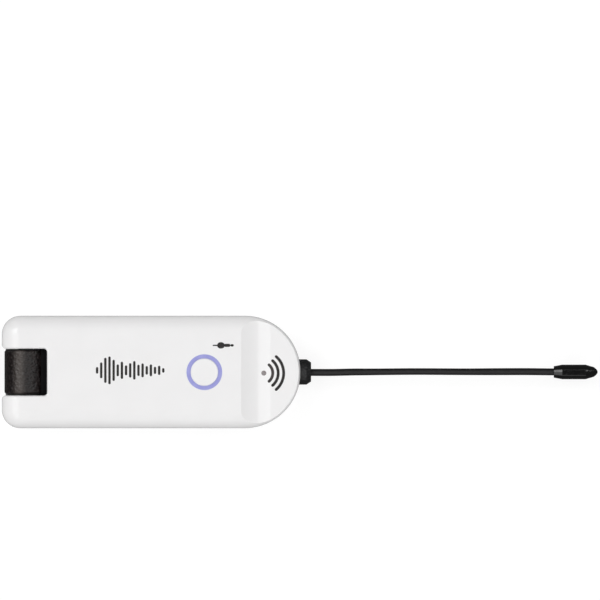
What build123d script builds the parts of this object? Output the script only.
from build123d import *
from math import acos, atan2, cos, hypot, radians, sin, tan
import os

# Wireless guitar transmitter: a white two-part housing, a swinging 6.35 mm jack plug and a springy whip
# antenna. +Z is up, through the button's face. +X runs from the hinge end to the antenna's tip, and Y = 0 is
# the middle of the width. The origin is at the bottom centre of the whole object's box. Millimetres.
# A place along the object is given as its distance from the ear end, the housing's end beside the hinge.

os.makedirs("parts", exist_ok=True)

# Housing
overall_length = 180.4
housing_length = 90.4
housing_width = 34.0
housing_height = 15.5
nose_height = 12.6
split_height = 7.2
wall = 1.6
corner_radius = 5.6
top_edge_radius = 5.3
bottom_edge_radius = 2.5
split_chamfer = 0.15
edge_softening = 0.75

# Lip on the lower cover, inside the upper cover's rim
lip_outer_inset = 0.9
lip_height = 1.0
lip_gap = 0.05

# Ramp: a hollow curve from the main face down to the nose
ramp_start = 72.4
ramp_end = 81.3
ramp_crest_radius = 0.8
ramp_foot_slope = radians(6)

# Hinge: the notch between the two ears, and the knuckle in it
notch_depth = 13.8
notch_width = 14.15
notch_corner_radius = 1.0
notch_mouth_radius = 1.3
seat_start = 9.5
seat_top = 5.0
seat_gap = 0.2
seat_root = 0.5
hinge_setback = 7.15
ear_bearing_wall = 3.2
knuckle_radius = 6.45
knuckle_width = 13.3
knuckle_edge_radius = 0.7
knuckle_wall = 1.4
trunnion_radius = 2.2
trunnion_length = 3.4
trunnion_bore_radius = 0.8
running_clearance = 0.05
washer_radius = 6.1
washer_thickness = 0.3

# Jack plug, by distance from the hinge axis
plug_radius = 3.175
plug_length = 30.5
neck_radius = 4.4
neck_reach = 7.6
flange_radius = 4.3
flange_thickness = 1.0
plug_tip_length = 9.7
plug_ring_length = 1.2
flange_chamfer = 0.2
tip_waist_radius = 2.1
tip_shoulder_radius = 2.85
tip_end_radius = 1.1
tip_profile = [
    (1.2, plug_radius),
    (4.4, tip_waist_radius),
    (5.0, tip_waist_radius),
    (6.1, tip_shoulder_radius),
    (6.7, tip_shoulder_radius),
]
tip_end_rounding = 0.9
tip_shoulder_rounding = 0.3
plug_thread_radius = 2.4
plug_bore_radius = 1.5
plug_rod_radius = 0.8
thread_inner_end = 0.9
tube_inner_end = 0.3
rod_inner_end = -0.9
nut_seat = 3.2
nut_flat_radius = 3.3
nut_thickness = 1.8
lug_thickness = 0.3
lug_radius = 3.2
lug_tab_width = 1.2
tip_lug_radius = 1.4
tip_lug_reach = 3.4
sleeve_lug_reach = 4.8
cable_radius = 0.65
cable_insert = 0.4
core_radius = 0.24
core_offset = 0.3

# Trough for the stowed plug
trough_half_width = 4.8
trough_wall = 1.0
trough_clearance = 0.8
collar_clearance = 0.35
collar_pocket_end = 17.4
trough_end_top = 47.5
trough_end_bottom = 53.0

# Screw posts of the covers, by distance from the ear end and from the middle
post_places = [(24.0, 10.2), (24.0, -10.2), (76.0, 12.0), (76.0, -12.0)]
post_radius = 2.3
screw_radius = 1.0
screw_hole_radius = 1.1
screw_head_radius = 1.9
screw_tip_radius = 0.3
screw_tip_length = 0.8
screw_tip_room = 0.3
screw_sink_radius = 2.1
screw_length = 9.5
screw_recess = 0.15
driver_slot_width = 0.45
driver_slot_length = 2.2
driver_slot_depth = 0.6
post_hole_slack = 0.3

# Button, light ring and switch
button_setback = 61.35
button_radius = 4.15
ring_outer_radius = 5.4
ring_inner_radius = 4.25
ring_flange_radius = 6.4
ring_flange_thickness = 1.2
button_flange_radius = 5.0
button_flange_thickness = 0.5
button_gap = 0.05
button_rounding = 0.15
button_rib = 1.0
button_skin = 1.3
switch_side = 5.2
switch_height = 1.5
switch_rounding = 0.4
switch_floor = 0.7
plunger_radius = 1.2
plunger_sink = 0.4
led_size = (0.8, 1.6, 0.6)
led_circle_radius = 5.3
led_count = 4

# Circuit board
board_bottom = 8.8
board_thickness = 1.0
board_front = 50.5
board_back = 80.5
board_half_width = 13.4
board_wall_gap = 0.7
board_screw_places = [(53.5, 11.5), (53.5, -11.5), (79.0, 0.0)]
board_boss_radius = 1.6
board_screw_radius = 0.8
board_screw_head_radius = 1.4
board_screw_head_height = 0.8
board_screw_length = 2.6
board_screw_room = 0.2
board_hole_slack = 0.1
board_slot_length = 1.6
board_slot_width = 0.35
board_slot_depth = 0.4
chip_chamfer = 0.1

# Components on the board: place along the object, place across, length, width and height
chips = {
    "controller_chip": (54.4, 3.6, 5.0, 5.0, 0.9),
    "audio_converter_chip": (53.2, -2.4, 4.0, 4.0, 0.9),
    "charger_chip": (60.6, -9.6, 3.0, 3.0, 0.9),
    "crystal": (69.6, 8.6, 3.2, 2.5, 0.8),
    "power_inductor": (66.4, -9.2, 3.0, 3.0, 1.5),
    "radio_chip": (72.2, 0, 4.0, 4.0, 0.8),
}
shield_setback = 72.2
shield_size = (7.6, 10.0, 1.5)
shield_sheet = 0.2
shield_rounding = 0.5
capacitor_size = (0.6, 1.0, 0.5)
capacitor_places = [
    (57.9, 7.4),
    (59.7, 7.4),
    (61.5, 7.4),
    (63.3, 7.4),
    (65.1, 8.2),
    (63.4, -8.0),
    (63.4, -9.4),
    (63.4, -10.8),
    (57.6, -6.4),
    (58.9, 9.8),
    (73.6, 7.2),
    (73.6, -7.2),
]

# Battery
battery_front = 54.5
battery_length = 23.0
battery_width = 16.0
battery_thickness = 5.9
battery_middle = 1.2
battery_rounding = 1.2
tape_thickness = 0.3
tape_inset_along = 3.0
tape_inset_across = 2.0
protection_board_low = (53.6, -4.6, 2.6)
protection_board_high = (battery_front, 7.0, 5.6)
connector_low = (51.0, -9.5)
connector_high = (54.8, -5.5)
connector_height = 2.6
connector_mouth_low = (50.9, -9.1)
connector_mouth_high = (53.4, -5.9)
connector_mouth_bottom = 0.6
connector_mouth_top = 2.0
lead_radius = 0.45

# Charging socket
socket_setback = 63.5
socket_width = 8.94
socket_height = 3.2
socket_depth = 7.3
socket_mouth = 16.5
socket_shell = 0.3
socket_opening_gap = 0.25
socket_back_thickness = 1.4
tongue_width = 6.7
tongue_thickness = 0.7
tongue_setback = 1.0
contact_count = 12
contact_pitch = 0.5
contact_width = 0.26
contact_thickness = 0.1
contact_height = 0.4
contact_length = 4.2
contact_setback = 1.4

# Antenna
gland_radius = 3.85
gland_end = 93.6
gland_chamfer_run = 1.4
gland_chamfer_fall = 0.95
gland_neck_radius = 2.7
gland_back_radius = 3.4
gland_back_start = 86.4
gland_back_end = 87.8
gland_front_start = 88.5
gland_neck_depth = 1.0
gland_hole_slack = 0.05
whip_radius = 1.02
whip_core_radius = 0.4
whip_core_depth = 0.6
whip_end = 176.0
cup_radius = 1.36
cap_start = 167.15
cap_mouth_radius = 1.75
cap_radius = 2.22
cap_taper = 2.5
cap_nose = 3.6
cap_nose_profile = [(2.9, 2.0), (1.15, 1.5), (0.45, 0.95), (0, 0.35)]
feed_radius = 0.5

# Values worked out from those above
ear_end_x = -overall_length / 2
half_width = housing_width / 2
nose_centre_x = ear_end_x + housing_length - half_width
hinge_x = ear_end_x + hinge_setback
ramp_run = ramp_end - ramp_start
ramp_fall = housing_height - nose_height
ramp_radius = hypot(ramp_run, ramp_fall) / (2 * sin(atan2(ramp_fall, ramp_run) - ramp_foot_slope))
ramp_centre_x = ear_end_x + ramp_end + ramp_radius * sin(ramp_foot_slope)
ramp_centre_z = nose_height + ramp_radius * cos(ramp_foot_slope)
board_top = board_bottom + board_thickness
ceiling = housing_height - wall
hinge_block_half_width = notch_width / 2 + ear_bearing_wall
trough_top = split_height + plug_radius + trough_clearance
pocket_top = split_height + neck_radius + collar_clearance
button_x = ear_end_x + button_setback
lip_start = notch_depth + wall + 1
ring_bottom = ceiling - ring_flange_thickness
plunger_top = ring_bottom - button_gap - button_flange_thickness
hinge_axis_plane = Plane(origin=(hinge_x, 0, split_height), x_dir=(1, 0, 0), z_dir=(0, 1, 0))


def at(distance):
    """X of a place by its distance from the ear end."""
    return ear_end_x + distance


def save(part, name):
    """Labels a finished piece and writes its STEP file."""
    part.label = name
    export_step(part, f"parts/{name}.step")


def housing_outline(inset):
    """The housing's plan, moved inwards by inset: rounded corners at the ear end, and a half-round nose."""
    with BuildSketch() as outline:
        with Locations((at(inset), 0)):
            Rectangle(nose_centre_x - at(inset), housing_width - 2 * inset, align=(Align.MIN, Align.CENTER))
        fillet(outline.vertices().group_by(Axis.X)[0], corner_radius - inset)
        with Locations((nose_centre_x, 0)):
            Circle(half_width - inset)
    return outline.sketch


def upper_form(inset):
    """The upper half of the housing as a solid, moved inwards by inset, with its ramp and nose."""
    top = housing_height - inset
    radius = ramp_radius + inset
    steepest = acos((ramp_centre_z - top) / radius)
    gentlest = acos((ramp_centre_z - nose_height + inset) / radius)
    crest, middle, foot = [
        (ramp_centre_x - radius * sin(slope), ramp_centre_z - radius * cos(slope))
        for slope in (steepest, (steepest + gentlest) / 2, gentlest)
    ]
    with BuildPart() as form:
        with BuildSketch(Plane.XY.offset(split_height)):
            add(housing_outline(inset))
        extrude(amount=top - split_height)
        fillet(form.edges().group_by(Axis.Z)[-1], top_edge_radius - inset)
        with BuildSketch(Plane.XZ) as side:
            with BuildLine():
                Polyline(foot, (at(housing_length + 5), foot[1]), (at(housing_length + 5), 0))
                Polyline((at(housing_length + 5), 0), (at(-5), 0), (at(-5), top), crest)
                ThreePointArc(crest, middle, foot)
            make_face()
            fillet(side.vertices().sort_by_distance(crest)[0], ramp_crest_radius)
        extrude(amount=housing_width, both=True, mode=Mode.INTERSECT)
    return form.part


def lower_form(inset):
    """The lower half of the housing as a solid, moved inwards by inset."""
    with BuildPart() as form:
        with BuildSketch(Plane.XY.offset(inset)):
            add(housing_outline(inset))
        extrude(amount=split_height - inset)
        fillet(form.edges().group_by(Axis.Z)[0], bottom_edge_radius - inset)
    return form.part


def hinge_block():
    """The solid stretch round the notch that holds the trunnions."""
    with BuildPart() as block:
        with BuildSketch():
            with Locations((at(-1), 0)):
                Rectangle(lip_start, 2 * hinge_block_half_width, align=(Align.MIN, Align.CENTER))
        extrude(amount=housing_height)
    return block.part


def notch():
    """What the two ears leave free for the knuckle."""
    with BuildPart() as gap:
        with BuildSketch(Plane.XY.offset(-1)) as plan:
            with Locations((at(-2), 0)):
                Rectangle(notch_depth + 2, notch_width, align=(Align.MIN, Align.CENTER))
            fillet(plan.vertices().group_by(Axis.X)[-1], notch_corner_radius)
        extrude(amount=housing_height + 2)
    return gap.part


def notch_mouth():
    """What rounds the ears' inner corners off at the notch's mouth."""
    with BuildPart() as flare:
        for side in (1, -1):
            corner = side * notch_width / 2
            outwards = Align.MIN if side > 0 else Align.MAX
            with BuildSketch(Plane.XY.offset(-1)):
                with Locations((at(0), corner)):
                    Rectangle(notch_mouth_radius, notch_mouth_radius, align=(Align.MIN, outwards))
                with Locations((at(notch_mouth_radius), corner + side * notch_mouth_radius)):
                    Circle(notch_mouth_radius, mode=Mode.SUBTRACT)
            extrude(amount=housing_height + 2)
    return flare.part


def notch_seats():
    """Two seats at the foot of the notch's end wall that follow the barrel and shut the gap beneath it."""
    width = notch_width / 2 - trough_half_width + seat_root
    with BuildPart() as seats:
        with BuildSketch():
            for side in (1, -1):
                with Locations((at(seat_start), side * (trough_half_width + width / 2))):
                    Rectangle(notch_depth + seat_root - seat_start, width, align=(Align.MIN, Align.CENTER))
        extrude(amount=seat_top)
        with BuildSketch(hinge_axis_plane):
            Circle(knuckle_radius + seat_gap)
        extrude(amount=notch_width, both=True, mode=Mode.SUBTRACT)
    return seats.part


def trunnion_bore():
    """The bore through both ears, for the trunnions."""
    with BuildPart() as bore:
        with BuildSketch(hinge_axis_plane):
            Circle(trunnion_radius + running_clearance)
        extrude(amount=hinge_block_half_width + 1, both=True)
    return bore.part


def trough_space(grow, first, depth):
    """The trough's space, or with grow the channel round it, from the notch to the sloping end."""
    with BuildPart() as space:
        with BuildSketch(Plane.XZ):
            with BuildLine():
                Polyline(
                    (at(first), depth),
                    (at(first), pocket_top + grow),
                    (at(collar_pocket_end) + grow, pocket_top + grow),
                    (at(collar_pocket_end) + grow, trough_top + grow),
                    (at(trough_end_top) + grow, trough_top + grow),
                    (at(trough_end_bottom) + grow * 1.15, depth),
                    close=True,
                )
            make_face()
        extrude(amount=trough_half_width + grow, both=True)
    return space.part


def socket_opening(gap):
    """The slot through the side wall for the charging plug."""
    with BuildPart() as slot:
        with BuildSketch(Plane.XZ.offset(half_width + 1)):
            with Locations((at(socket_setback), board_bottom - socket_height / 2)):
                SlotOverall(socket_width + 2 * gap, socket_height + 2 * gap)
        extrude(amount=-4)
    return slot.part


def gland_hole():
    """The hole through the nose wall for the gland's neck."""
    with BuildPart() as hole:
        with BuildSketch(Plane.YZ.offset(at(gland_back_start))):
            with Locations((0, split_height)):
                Circle(gland_neck_radius + gland_hole_slack)
        extrude(amount=8)
    return hole.part


def lip(outer, inner, height, first):
    """A band along the rim, from the inset outer to the inset inner, behind the hinge block."""
    with BuildPart() as band:
        with BuildSketch(Plane.XY.offset(split_height)):
            add(housing_outline(outer))
            add(housing_outline(inner), mode=Mode.SUBTRACT)
            with Locations((at(-1), 0)):
                Rectangle(first + 1, 2 * housing_width, align=(Align.MIN, Align.CENTER), mode=Mode.SUBTRACT)
        extrude(amount=height)
    return band.part


# Upper cover
with BuildPart() as upper_cavity:
    add(upper_form(wall))
    add(hinge_block(), mode=Mode.SUBTRACT)

with BuildPart() as upper_posts:
    with BuildSketch(Plane.XY.offset(split_height)):
        with Locations([(at(x), y) for x, y in post_places]):
            Circle(post_radius)
    extrude(amount=housing_height - split_height)
    with BuildSketch(Plane.XY.offset(board_top)):
        with Locations([(at(x), y) for x, y in board_screw_places]):
            Circle(board_boss_radius)
    extrude(amount=housing_height - board_top)
    add(upper_form(wall / 2), mode=Mode.INTERSECT)

with BuildPart() as top_cover:
    add(upper_form(0))
    add(notch(), mode=Mode.SUBTRACT)
    rim = top_cover.edges(Select.LAST).filter_by(Axis.Z, reverse=True)
    fillet(rim.filter_by(lambda e: e.center().Z > split_height + 1), edge_softening)
    add(notch_mouth(), mode=Mode.SUBTRACT)
    chamfer(top_cover.faces().sort_by(Axis.Z)[0].edges(), split_chamfer)
    add(upper_cavity.part, mode=Mode.SUBTRACT)
    add(lip(lip_outer_inset - lip_gap, wall + 1, lip_height + lip_gap, lip_start), mode=Mode.SUBTRACT)
    add(upper_posts.part)
    for x, y in post_places:
        with BuildSketch(Plane.XY.offset(split_height)):
            with Locations((at(x), y)):
                Circle(screw_radius)
        extrude(amount=screw_length + screw_recess + screw_tip_room - split_height, mode=Mode.SUBTRACT)
    for x, y in board_screw_places:
        with BuildSketch(Plane.XY.offset(board_top)):
            with Locations((at(x), y)):
                Circle(board_screw_radius)
        extrude(amount=board_screw_length - board_thickness + board_screw_room, mode=Mode.SUBTRACT)
    with BuildSketch(Plane.XY.offset(ceiling - 1)):
        with Locations((button_x, 0)):
            Circle(ring_outer_radius)
    extrude(amount=wall + 2, mode=Mode.SUBTRACT)
    add(trunnion_bore(), mode=Mode.SUBTRACT)
    add(trough_space(trough_wall + 0.05, notch_depth - 1, 0), mode=Mode.SUBTRACT)
    add(socket_opening(socket_opening_gap), mode=Mode.SUBTRACT)
    add(gland_hole(), mode=Mode.SUBTRACT)
save(top_cover.part, "top_cover")

# Lower cover
with BuildPart() as lower_cavity:
    add(lower_form(wall))
    add(hinge_block(), mode=Mode.SUBTRACT)

with BuildPart() as bottom_cover:
    add(lower_form(0))
    chamfer(bottom_cover.faces().sort_by(Axis.Z)[-1].edges(), split_chamfer)
    add(lower_cavity.part, mode=Mode.SUBTRACT)
    add(lip(lip_outer_inset, wall, lip_height, lip_start + lip_gap))
    add(trough_space(trough_wall, notch_depth - 1, 0))
    add(notch(), mode=Mode.SUBTRACT)
    add(notch_seats())
    add(notch_mouth(), mode=Mode.SUBTRACT)
    add(trough_space(0, notch_depth - 2, -1), mode=Mode.SUBTRACT)
    for x, y in post_places:
        with BuildSketch(Plane.XY.offset(wall / 2)):
            with Locations((at(x), y)):
                Circle(post_radius)
        extrude(amount=split_height - wall / 2)
        with Locations(Location((at(x), y, 0), (180, 0, 0))):
            CounterSinkHole(screw_hole_radius, screw_sink_radius, split_height + 1, counter_sink_angle=90)
    add(trunnion_bore(), mode=Mode.SUBTRACT)
    add(socket_opening(socket_opening_gap), mode=Mode.SUBTRACT)
    add(gland_hole(), mode=Mode.SUBTRACT)
save(bottom_cover.part, "bottom_cover")


centre_line = Plane(origin=(ear_end_x, 0, split_height), x_dir=(1, 0, 0), z_dir=(0, -1, 0))


def turned(points):
    """A solid turned about the centre line from points of (distance from the ear end, radius)."""
    with BuildPart() as solid:
        with BuildSketch(centre_line):
            with BuildLine():
                Polyline(*points, close=True)
            make_face()
        revolve(axis=Axis(centre_line.origin, centre_line.x_dir))
    return solid.part


def from_hinge(points):
    """Points of (distance from the hinge axis, radius) as distances from the ear end."""
    return [(hinge_setback + distance, radius) for distance, radius in points]


def block(low, high, softening=0.0):
    """A box between two corners given as (distance from the ear end, y, z)."""
    size = [b - a for a, b in zip(low, high)]
    with BuildPart() as solid:
        with Locations((at(low[0]), low[1], low[2])):
            Box(*size, align=(Align.MIN, Align.MIN, Align.MIN))
        if softening:
            fillet(solid.edges().filter_by(Axis.X), softening)
    return solid.part


def chip(middle_x, middle_y, length, width, height):
    """A component lying on the board's upper face, with its top edges broken."""
    with BuildPart() as solid:
        with Locations((at(middle_x), middle_y, board_top)):
            Box(length, width, height, align=(Align.CENTER, Align.CENTER, Align.MIN))
        chamfer(solid.faces().sort_by(Axis.Z)[-1].edges(), chip_chamfer)
    return solid.part


def routed(places, radius):
    """A round cable along straight runs, joined by arcs as large as the runs allow."""
    corners = [Vector(at(x), y, z) for x, y, z in places]
    runs = [after - before for before, after in zip(corners, corners[1:])]
    rooms = [0.45 * run.length for run in runs]
    rooms[0] = 0.9 * runs[0].length
    rooms[-1] = 0.9 * runs[-1].length
    bends = []
    for number in range(1, len(runs)):
        turn = radians(runs[number - 1].get_angle(runs[number]))
        bends.append(min(rooms[number - 1], rooms[number]) / tan(turn / 2))
    with BuildPart() as cable:
        with BuildLine():
            FilletPolyline(*corners, radius=bends)
        with BuildSketch(Plane(origin=corners[0], z_dir=corners[1] - corners[0])):
            Circle(radius)
        sweep()
    print("bend radii", [round(bend, 1) for bend in bends])
    return cable.part


# Knuckle: the barrel, with one trunnion, and the end cap, with the other
with BuildPart() as knuckle_barrel:
    with BuildSketch(hinge_axis_plane):
        Circle(knuckle_radius)
    extrude(amount=knuckle_width / 2, both=True)
    fillet(knuckle_barrel.edges().filter_by(GeomType.CIRCLE), knuckle_edge_radius)
    with BuildSketch(Plane.YZ.offset(hinge_x)):
        with Locations((0, split_height)):
            Circle(neck_radius)
    extrude(amount=neck_reach)
    with BuildSketch(hinge_axis_plane):
        Circle(trunnion_radius)
    extrude(amount=-knuckle_width / 2 - trunnion_length)
    with BuildSketch(hinge_axis_plane.offset(knuckle_wall - knuckle_width / 2)):
        Circle(knuckle_radius - knuckle_wall)
        with Locations((nut_seat, 0)):
            Rectangle(10, 10, align=(Align.MIN, Align.CENTER), mode=Mode.SUBTRACT)
    extrude(amount=knuckle_width - 2 * knuckle_wall, mode=Mode.SUBTRACT)
    with BuildSketch(hinge_axis_plane.offset(knuckle_width / 2 - knuckle_wall)):
        Circle(knuckle_radius - knuckle_wall)
    extrude(amount=knuckle_wall, mode=Mode.SUBTRACT)
    with BuildSketch(Plane.YZ.offset(hinge_x)):
        with Locations((0, split_height)):
            Circle(plug_thread_radius)
    extrude(amount=neck_reach, mode=Mode.SUBTRACT)
save(knuckle_barrel.part, "knuckle_barrel")

with BuildPart() as knuckle_end_cap:
    with BuildSketch(hinge_axis_plane.offset(knuckle_width / 2 - knuckle_wall)):
        Circle(knuckle_radius - knuckle_wall)
    extrude(amount=knuckle_wall)
    with BuildSketch(hinge_axis_plane.offset(knuckle_width / 2)):
        Circle(trunnion_radius)
    extrude(amount=trunnion_length)
    with BuildSketch(hinge_axis_plane):
        Circle(trunnion_bore_radius)
    extrude(amount=knuckle_width, mode=Mode.SUBTRACT)
save(knuckle_end_cap.part, "knuckle_end_cap")

for side, name in ((1, "friction_washer_left"), (-1, "friction_washer_right")):
    with BuildPart() as friction_washer:
        with BuildSketch(hinge_axis_plane.offset(side * knuckle_width / 2)):
            Circle(washer_radius)
            Circle(trunnion_radius, mode=Mode.SUBTRACT)
        extrude(amount=side * washer_thickness)
    save(friction_washer.part, name)

# Jack plug
plug_end = neck_reach + flange_thickness + plug_length
ring_start = plug_end - plug_tip_length - plug_ring_length
tip_start = plug_end - plug_tip_length

with BuildPart() as plug_sleeve:
    add(turned(from_hinge([
        (thread_inner_end, plug_bore_radius),
        (thread_inner_end, plug_thread_radius),
        (neck_reach, plug_thread_radius),
        (neck_reach, flange_radius),
        (neck_reach + flange_thickness, flange_radius),
        (neck_reach + flange_thickness, plug_radius),
        (ring_start, plug_radius),
        (ring_start, plug_bore_radius),
    ])))
    rims = plug_sleeve.edges().filter_by(GeomType.CIRCLE)
    chamfer(rims.filter_by(lambda e: abs(e.radius - flange_radius) < 0.01), flange_chamfer)
save(plug_sleeve.part, "plug_sleeve")

save(turned(from_hinge([
    (tube_inner_end, plug_rod_radius),
    (tube_inner_end, plug_bore_radius),
    (ring_start, plug_bore_radius),
    (ring_start, plug_radius),
    (tip_start, plug_radius),
    (tip_start, plug_rod_radius),
])), "plug_insulator")

with BuildPart() as plug_tip:
    add(turned(from_hinge([
        (rod_inner_end, 0),
        (rod_inner_end, plug_rod_radius),
        (tip_start, plug_rod_radius),
        (tip_start, plug_radius),
        *[(tip_start + distance, radius) for distance, radius in tip_profile],
        (plug_end, tip_end_radius),
        (plug_end, 0),
    ])))
    nose = plug_tip.edges().filter_by(GeomType.CIRCLE).sort_by(Axis.X)
    fillet(nose[-1], tip_end_rounding)
    fillet(nose.filter_by(lambda e: abs(e.radius - tip_shoulder_radius) < 0.01), tip_shoulder_rounding)
save(plug_tip.part, "plug_tip")

with BuildPart() as plug_nut:
    with BuildSketch(Plane.YZ.offset(hinge_x + nut_seat - lug_thickness - nut_thickness)):
        with Locations((0, split_height)):
            RegularPolygon(nut_flat_radius, 6, major_radius=False)
            Circle(plug_thread_radius, mode=Mode.SUBTRACT)
    extrude(amount=nut_thickness)
save(plug_nut.part, "plug_nut")

with BuildPart() as sleeve_lug:
    with BuildSketch(Plane.YZ.offset(hinge_x + nut_seat - lug_thickness)):
        with Locations((0, split_height)):
            Circle(lug_radius)
            Rectangle(sleeve_lug_reach, lug_tab_width, align=(Align.MIN, Align.CENTER))
            Circle(plug_thread_radius, mode=Mode.SUBTRACT)
    extrude(amount=lug_thickness)
save(sleeve_lug.part, "sleeve_lug")

with BuildPart() as tip_lug:
    with BuildSketch(Plane.YZ.offset(hinge_x + tube_inner_end - 2 * lug_thickness)):
        with Locations((0, split_height)):
            Circle(tip_lug_radius)
            Rectangle(tip_lug_reach, lug_tab_width, align=(Align.MIN, Align.CENTER))
            Circle(plug_rod_radius, mode=Mode.SUBTRACT)
    extrude(amount=lug_thickness)
save(tip_lug.part, "tip_lug")

# Signal cable: it runs along the hinge axis, so it only twists as the plug swings
cable_end = knuckle_width / 2 + trunnion_length
cable_start = knuckle_width / 2 - knuckle_wall - cable_insert
with BuildPart() as signal_cable_in_knuckle:
    with BuildSketch(hinge_axis_plane.offset(cable_start)):
        Circle(cable_radius)
    extrude(amount=cable_end - cable_start)
save(signal_cable_in_knuckle.part, "signal_cable_in_knuckle")

with BuildPart() as signal_cores:
    with BuildSketch(hinge_axis_plane.offset(tip_lug_reach)):
        with Locations((-core_offset, 0)):
            Circle(core_radius)
    extrude(amount=cable_start - tip_lug_reach)
    with BuildSketch(hinge_axis_plane.offset(cable_start - core_radius)):
        with Locations((core_offset, 0)):
            Circle(core_radius)
    extrude(amount=core_radius)
    with BuildSketch(Plane.YZ.offset(hinge_x + core_offset)):
        with Locations((cable_start - core_radius, split_height)):
            Circle(core_radius)
    extrude(amount=nut_seat - lug_thickness - core_offset)
save(signal_cores.part, "signal_cores")

save(routed([
    (hinge_setback, cable_end, split_height),
    (hinge_setback, 13.0, split_height),
    (13.0, 14.1, 6.2),
    (25.0, 13.8, 4.9),
    (45.0, 13.9, 5.3),
    (52.0, 13.2, 6.4),
    (57.0, 12.0, board_bottom - cable_radius - 0.05),
], cable_radius), "signal_cable")

# Button, light ring and switch
with BuildPart() as light_ring:
    with BuildSketch(Plane.XY.offset(ring_bottom)):
        with Locations((button_x, 0)):
            Circle(ring_flange_radius)
    extrude(amount=ring_flange_thickness)
    with BuildSketch(Plane.XY.offset(ceiling)):
        with Locations((button_x, 0)):
            Circle(ring_outer_radius)
    extrude(amount=wall)
    with BuildSketch(Plane.XY.offset(ring_bottom)):
        with Locations((button_x, 0)):
            Circle(ring_inner_radius)
    extrude(amount=ring_flange_thickness + wall, mode=Mode.SUBTRACT)
save(light_ring.part, "light_ring")

with BuildPart() as power_button:
    with BuildSketch(Plane.XY.offset(plunger_top)):
        with Locations((button_x, 0)):
            Circle(button_flange_radius)
    extrude(amount=button_flange_thickness)
    with BuildSketch(Plane.XY.offset(plunger_top)):
        with Locations((button_x, 0)):
            Circle(button_radius)
    extrude(amount=housing_height - plunger_top)
    fillet(power_button.faces().sort_by(Axis.Z)[-1].edges(), button_rounding)
    with BuildSketch(Plane.XY.offset(plunger_top)):
        with Locations((button_x, 0)):
            Circle(button_radius - button_rib)
            Circle(plunger_radius, mode=Mode.SUBTRACT)
    extrude(amount=housing_height - button_skin - plunger_top, mode=Mode.SUBTRACT)
save(power_button.part, "power_button")

with BuildPart() as switch_base:
    with BuildSketch(Plane.XY.offset(board_top)):
        with Locations((button_x, 0)):
            RectangleRounded(switch_side, switch_side, switch_rounding)
    extrude(amount=switch_height)
    with BuildSketch(Plane.XY.offset(board_top + switch_floor)):
        with Locations((button_x, 0)):
            Circle(plunger_radius + running_clearance)
    extrude(amount=switch_height, mode=Mode.SUBTRACT)
save(switch_base.part, "switch_base")

with BuildPart() as switch_plunger:
    with BuildSketch(Plane.XY.offset(board_top + switch_height - plunger_sink)):
        with Locations((button_x, 0)):
            Circle(plunger_radius)
    extrude(amount=plunger_top - board_top - switch_height + plunger_sink)
save(switch_plunger.part, "switch_plunger")

with BuildPart() as ring_leds:
    with Locations((button_x, 0, board_top)):
        with PolarLocations(led_circle_radius, led_count):
            Box(*led_size, align=(Align.CENTER, Align.CENTER, Align.MIN))
save(ring_leds.part, "ring_leds")

# Circuit board and what is on it
with BuildPart() as main_board:
    with BuildSketch(Plane.XY.offset(board_bottom)):
        add(housing_outline(wall + board_wall_gap))
        with Locations((at(board_front), 0)):
            Rectangle(
                board_back - board_front,
                2 * board_half_width,
                align=(Align.MIN, Align.CENTER),
                mode=Mode.INTERSECT,
            )
        with Locations([(at(x), y) for x, y in post_places[2:]]):
            Circle(post_radius + post_hole_slack, mode=Mode.SUBTRACT)
        with Locations([(at(x), y) for x, y in board_screw_places]):
            Circle(board_screw_radius + board_hole_slack, mode=Mode.SUBTRACT)
    extrude(amount=board_thickness)
save(main_board.part, "main_board")

for name, (x, y, length, width, height) in chips.items():
    save(chip(x, y, length, width, height), name)

shield_room = [size - 2 * shield_sheet for size in shield_size[:2]]
with BuildPart() as radio_shield:
    with Locations((at(shield_setback), 0, board_top)):
        Box(*shield_size, align=(Align.CENTER, Align.CENTER, Align.MIN))
    fillet(radio_shield.edges().filter_by(Axis.Z), shield_rounding)
    with Locations((at(shield_setback), 0, board_top)):
        Box(
            *shield_room,
            shield_size[2] - shield_sheet,
            align=(Align.CENTER, Align.CENTER, Align.MIN),
            mode=Mode.SUBTRACT,
        )
save(radio_shield.part, "radio_shield")

with BuildPart() as small_capacitors:
    with Locations([(at(x), y, board_top) for x, y in capacitor_places]):
        Box(*capacitor_size, align=(Align.CENTER, Align.CENTER, Align.MIN))
save(small_capacitors.part, "small_capacitors")

# Battery
battery_low = tape_thickness + wall
battery_back = battery_front + battery_length
battery_left = battery_middle + battery_width / 2
battery_right = battery_middle - battery_width / 2
save(
    block(
        (battery_front, battery_right, battery_low),
        (battery_back, battery_left, battery_low + battery_thickness),
        battery_rounding,
    ),
    "battery_cell",
)
save(
    block(
        (battery_front + tape_inset_along, battery_right + tape_inset_across, wall),
        (battery_back - tape_inset_along, battery_left - tape_inset_across, battery_low),
    ),
    "battery_tape",
)
save(block(protection_board_low, protection_board_high), "battery_protection_board")

with BuildPart() as battery_connector:
    add(block((*connector_low, board_top), (*connector_high, board_top + connector_height)))
    add(
        block(
            (*connector_mouth_low, board_top + connector_mouth_bottom),
            (*connector_mouth_high, board_top + connector_mouth_top),
        ),
        mode=Mode.SUBTRACT,
    )
save(battery_connector.part, "battery_connector")

lead_height = board_top + 1.3
save(routed([
    (battery_front, -6.2, 4.0),
    (53.3, -6.2, 4.0),
    (50.6, -7.6, 5.0),
    (48.9, -7.6, 8.6),
    (49.8, -6.9, lead_height),
    (53.4, -6.9, lead_height),
], lead_radius), "battery_lead_positive")
save(routed([
    (battery_front, -6.2, 5.5),
    (53.3, -6.2, 5.5),
    (49.6, -9.4, 6.4),
    (47.8, -9.4, 9.0),
    (49.4, -8.1, lead_height),
    (53.4, -8.1, lead_height),
], lead_radius), "battery_lead_negative")

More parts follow.
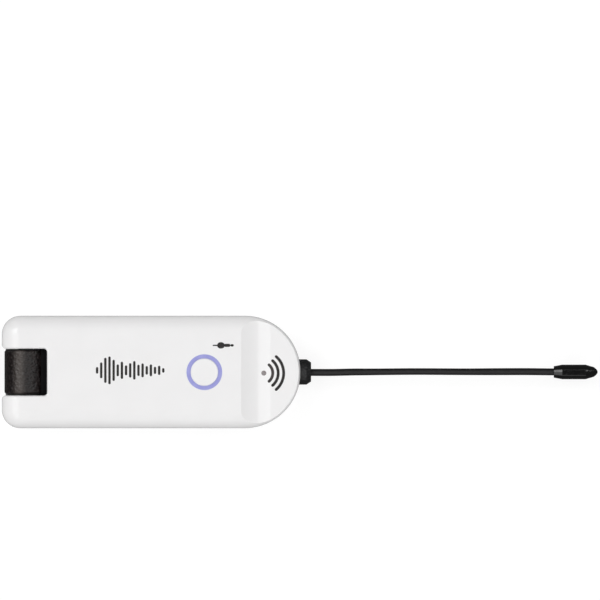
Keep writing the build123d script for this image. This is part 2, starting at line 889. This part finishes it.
# Charging socket
socket_middle_z = board_bottom - socket_height / 2
socket_inner_width = socket_width - 2 * socket_shell
socket_inner_height = socket_height - 2 * socket_shell
with BuildPart() as socket_shell_part:
    with BuildSketch(Plane.XZ.offset(socket_mouth)):
        with Locations((at(socket_setback), socket_middle_z)):
            SlotOverall(socket_width, socket_height)
            SlotOverall(socket_inner_width, socket_inner_height, mode=Mode.SUBTRACT)
    extrude(amount=-socket_depth)
save(socket_shell_part.part, "charging_socket_shell")

with BuildPart() as socket_insulator:
    with BuildSketch(Plane.XZ.offset(socket_mouth - socket_depth + socket_back_thickness)):
        with Locations((at(socket_setback), socket_middle_z)):
            SlotOverall(socket_inner_width, socket_inner_height)
    extrude(amount=-socket_back_thickness)
    with BuildSketch(Plane.XZ.offset(socket_mouth - tongue_setback)):
        with Locations((at(socket_setback), socket_middle_z)):
            Rectangle(tongue_width, tongue_thickness)
    extrude(amount=2 * tongue_setback - socket_depth)
save(socket_insulator.part, "charging_socket_tongue")

with BuildPart() as socket_contacts:
    for side in (1, -1):
        with BuildSketch(Plane.XZ.offset(socket_mouth - contact_setback)):
            with Locations((at(socket_setback), socket_middle_z + side * contact_height)):
                with GridLocations(contact_pitch, 1, contact_count, 1):
                    Rectangle(contact_width, contact_thickness)
        extrude(amount=-contact_length)
save(socket_contacts.part, "charging_socket_contacts")

# Antenna: the gland is held between the covers, and the whip bends at a ball end in the gland's cup
with BuildPart() as antenna_gland:
    add(turned([
        (gland_front_start, 0),
        (gland_front_start, gland_radius),
        (gland_end - gland_chamfer_run, gland_radius),
        (gland_end, gland_radius - gland_chamfer_fall),
        (gland_end, 0),
    ]))
    with BuildSketch():
        add(housing_outline(0))
    extrude(amount=housing_height, mode=Mode.SUBTRACT)
    add(turned([
        (gland_back_start, 0),
        (gland_back_start, gland_back_radius),
        (gland_back_end, gland_back_radius),
        (gland_back_end, gland_neck_radius),
        (gland_end - gland_neck_depth, gland_neck_radius),
        (gland_end - gland_neck_depth, 0),
    ]))
    with BuildSketch(Plane.YZ.offset(at(gland_back_start))):
        with Locations((0, split_height)):
            Circle(whip_radius)
    extrude(amount=gland_end - gland_back_start, mode=Mode.SUBTRACT)
    with Locations((at(gland_end), 0, split_height)):
        Sphere(cup_radius, mode=Mode.SUBTRACT)
save(antenna_gland.part, "antenna_gland")

with BuildPart() as antenna_feed:
    with BuildSketch(Plane.YZ.offset(at(gland_back_start))):
        with Locations((0, split_height)):
            Circle(whip_radius)
    extrude(amount=gland_end - cup_radius - gland_back_start)
    add(routed([
        (gland_back_start, 0, split_height),
        (84.2, 0.2, split_height + 0.1),
        (82.0, 2.8, split_height + 0.6),
        (78.6, 4.2, board_bottom - feed_radius - 0.05),
    ], feed_radius))
save(antenna_feed.part, "antenna_feed")

core_start = gland_end + whip_core_depth
with BuildPart() as antenna_whip:
    with BuildSketch(Plane.YZ.offset(at(gland_end))):
        with Locations((0, split_height)):
            Circle(whip_radius)
    extrude(amount=whip_end - gland_end)
    with Locations((at(gland_end), 0, split_height)):
        Sphere(whip_radius)
    with BuildSketch(Plane.YZ.offset(at(core_start))):
        with Locations((0, split_height)):
            Circle(whip_core_radius)
    extrude(amount=whip_end - core_start, mode=Mode.SUBTRACT)
save(antenna_whip.part, "antenna_whip_sheath")

with BuildPart() as antenna_core:
    with BuildSketch(Plane.YZ.offset(at(core_start))):
        with Locations((0, split_height)):
            Circle(whip_core_radius)
    extrude(amount=whip_end - core_start)
save(antenna_core.part, "antenna_core")

cap_end = overall_length
with BuildPart() as antenna_tip_cap:
    add(turned([
        (cap_start, whip_radius),
        (cap_start, cap_mouth_radius),
        (cap_start + cap_taper, cap_radius),
        (cap_end - cap_nose, cap_radius),
        *[(cap_end - distance, radius) for distance, radius in cap_nose_profile],
        (cap_end, 0),
        (whip_end, 0),
        (whip_end, whip_radius),
    ]))
save(antenna_tip_cap.part, "antenna_tip_cap")

# Fasteners
screw_end = screw_recess + screw_length
with BuildPart() as housing_screws:
    for x, y in post_places:
        with BuildSketch(Plane(origin=(at(x), y, 0), x_dir=(1, 0, 0), z_dir=(0, -1, 0))):
            with BuildLine():
                Polyline(
                    (0, screw_recess),
                    (screw_head_radius, screw_recess),
                    (screw_radius, screw_recess + screw_head_radius - screw_radius),
                    (screw_radius, screw_end - screw_tip_length),
                    (screw_tip_radius, screw_end),
                    (0, screw_end),
                    close=True,
                )
            make_face()
        revolve(axis=Axis((at(x), y, 0), (0, 0, 1)))
        with BuildSketch(Plane.XY.offset(screw_recess)):
            with Locations((at(x), y)):
                Rectangle(driver_slot_length, driver_slot_width)
                Rectangle(driver_slot_width, driver_slot_length)
        extrude(amount=driver_slot_depth, mode=Mode.SUBTRACT)
save(housing_screws.part, "housing_screws")

with BuildPart() as board_screws:
    for x, y in board_screw_places:
        with BuildSketch(Plane.XY.offset(board_bottom - board_screw_head_height)):
            with Locations((at(x), y)):
                Circle(board_screw_head_radius)
        extrude(amount=board_screw_head_height)
        with BuildSketch(Plane.XY.offset(board_bottom)):
            with Locations((at(x), y)):
                Circle(board_screw_radius)
        extrude(amount=board_screw_length)
        with BuildSketch(Plane.XY.offset(board_bottom - board_screw_head_height)):
            with Locations((at(x), y)):
                Rectangle(board_slot_length, board_slot_width)
                Rectangle(board_slot_width, board_slot_length)
        extrude(amount=board_slot_depth, mode=Mode.SUBTRACT)
save(board_screws.part, "board_screws")
